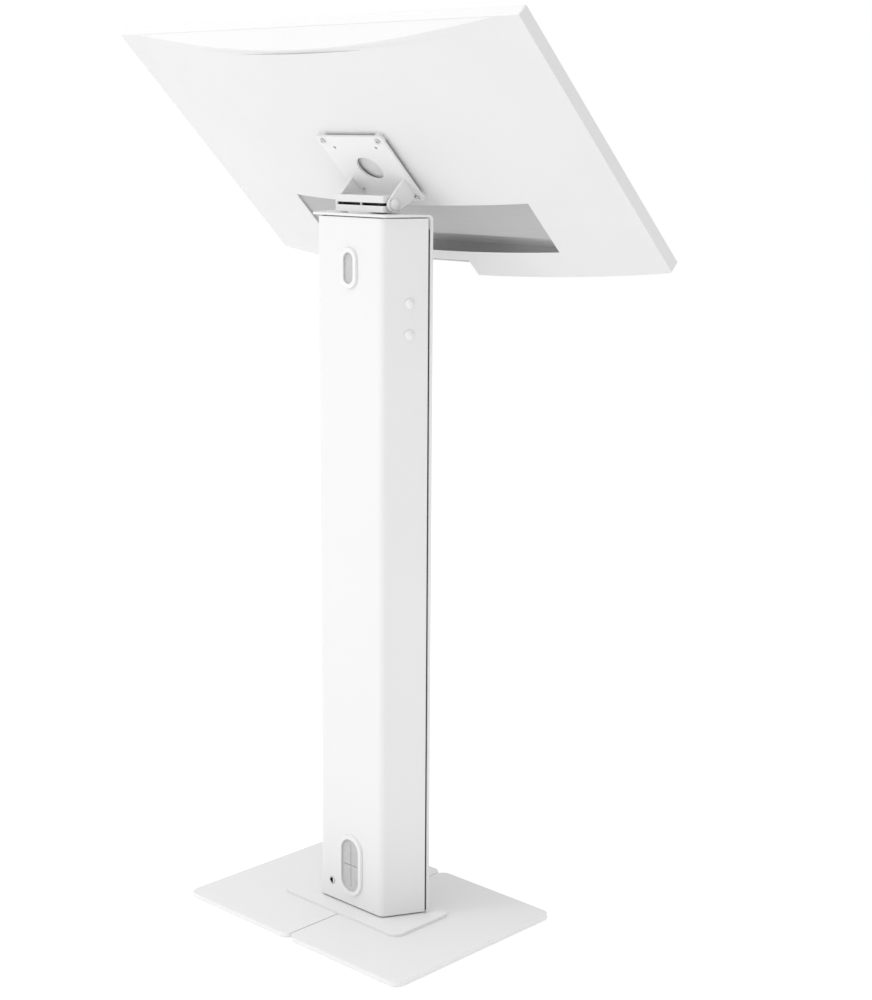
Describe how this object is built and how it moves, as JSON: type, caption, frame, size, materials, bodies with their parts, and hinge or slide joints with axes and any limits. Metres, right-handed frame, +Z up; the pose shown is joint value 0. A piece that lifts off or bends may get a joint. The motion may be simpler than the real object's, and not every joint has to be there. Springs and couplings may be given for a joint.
{
  "type": "touchscreen kiosk",
  "caption": "Floor-standing touchscreen kiosk: a steel column with a lockable rear cable cover on a flat base, and a tilting clamp head that carries a wide touch display.",
  "frame": {"origin": "on the floor, under the middle of the base", "axes": "+Z up; -Y towards the user in front of the screen, +Y towards the rear cover; +X to the user's right"},
  "size_m": [0.71, 0.3378, 1.1896],
  "materials": {
    "powder_white": "satin",
    "display_white": "satin",
    "grommet_white": "satin",
    "membrane_grey": "matte",
    "rubber_black": "matte",
    "steel_plain": "satin",
    "zinc_plated": "satin",
    "lock_chrome": "polished",
    "spacer_grey": "matte",
    "front_glass": "polished",
    "cell_black": "satin",
    "board_green": "satin",
    "plastic_black": "matte",
    "socket_steel": "satin",
    "button_grey": "satin"
  },
  "bodies": {
    "stand": {"base_plate_left": "powder_white", "base_plate_right": "powder_white", "floor_pads": "rubber_black", "foot_plate": "powder_white", "base_screws": "zinc_plated", "post_foot": "steel_plain", "spine_post": "steel_plain", "post_bolts": "zinc_plated", "head_plate": "steel_plain", "front_panel": "powder_white", "panel_screws": "zinc_plated", "hinge_brackets": "steel_plain", "cover_hinge_rod": "zinc_plated", "spacer_disc": "spacer_grey", "jaw_bolts": "zinc_plated", "lower_jaw": "powder_white", "upper_jaw": "powder_white", "clamp_screws": "zinc_plated"},
    "cover": {"rear_cover": "powder_white", "hinge_tabs": "steel_plain", "upper_grommet_ring": "grommet_white", "upper_grommet_membrane": "membrane_grey", "lower_grommet_ring": "grommet_white", "lower_grommet_membrane": "membrane_grey", "lock_housing": "zinc_plated", "lock_nut": "steel_plain", "side_studs": "grommet_white", "stud_nuts": "zinc_plated"},
    "lock": {"lock_plug": "lock_chrome", "lock_cam": "steel_plain", "cam_screw": "zinc_plated"},
    "head": {"tilt_shaft": "steel_plain", "shaft_caps": "powder_white", "thrust_washers": "spacer_grey", "tilt_ear_left": "powder_white", "tilt_ear_right": "powder_white", "vesa_plate": "powder_white", "vesa_screws": "zinc_plated", "mount_bracket": "steel_plain", "rear_housing": "display_white", "front_bezel": "display_white", "touch_glass": "front_glass", "lcd_cell": "cell_black", "backlight": "spacer_grey", "display_chassis": "steel_plain", "chassis_screws": "zinc_plated", "main_board": "board_green", "power_board": "board_green", "board_standoffs": "zinc_plated", "touch_controller": "board_green", "speakers": "plastic_black", "socket_row": "socket_steel", "power_inlet": "plastic_black", "button_switch": "plastic_black"},
    "button": {"power_button": "button_grey"}
  },
  "joints": [
    {"name": "head_tilt", "type": "hinge", "parent": "stand", "child": "head", "pos_m": [0, 0, 0.963], "axis": [1, 0, 0], "range_deg": [-30, 25]},
    {"name": "cover_swing", "type": "hinge", "parent": "stand", "child": "cover", "pos_m": [0, 0.0224, 0.936], "axis": [1, 0, 0], "range_deg": [0, 7]},
    {"name": "lock_turn", "type": "hinge", "parent": "cover", "child": "lock", "pos_m": [0.0371, 0.02, 0.0379], "axis": [0, -1, 0], "range_deg": [0, 90]},
    {"name": "button_press", "type": "slide", "parent": "head", "child": "button", "axis": [0, 0.7071, 0.7071], "range_m": [0, 0.0008], "stiffness_N_per_m": 1500, "springref_m": -0.0004}
  ]
}
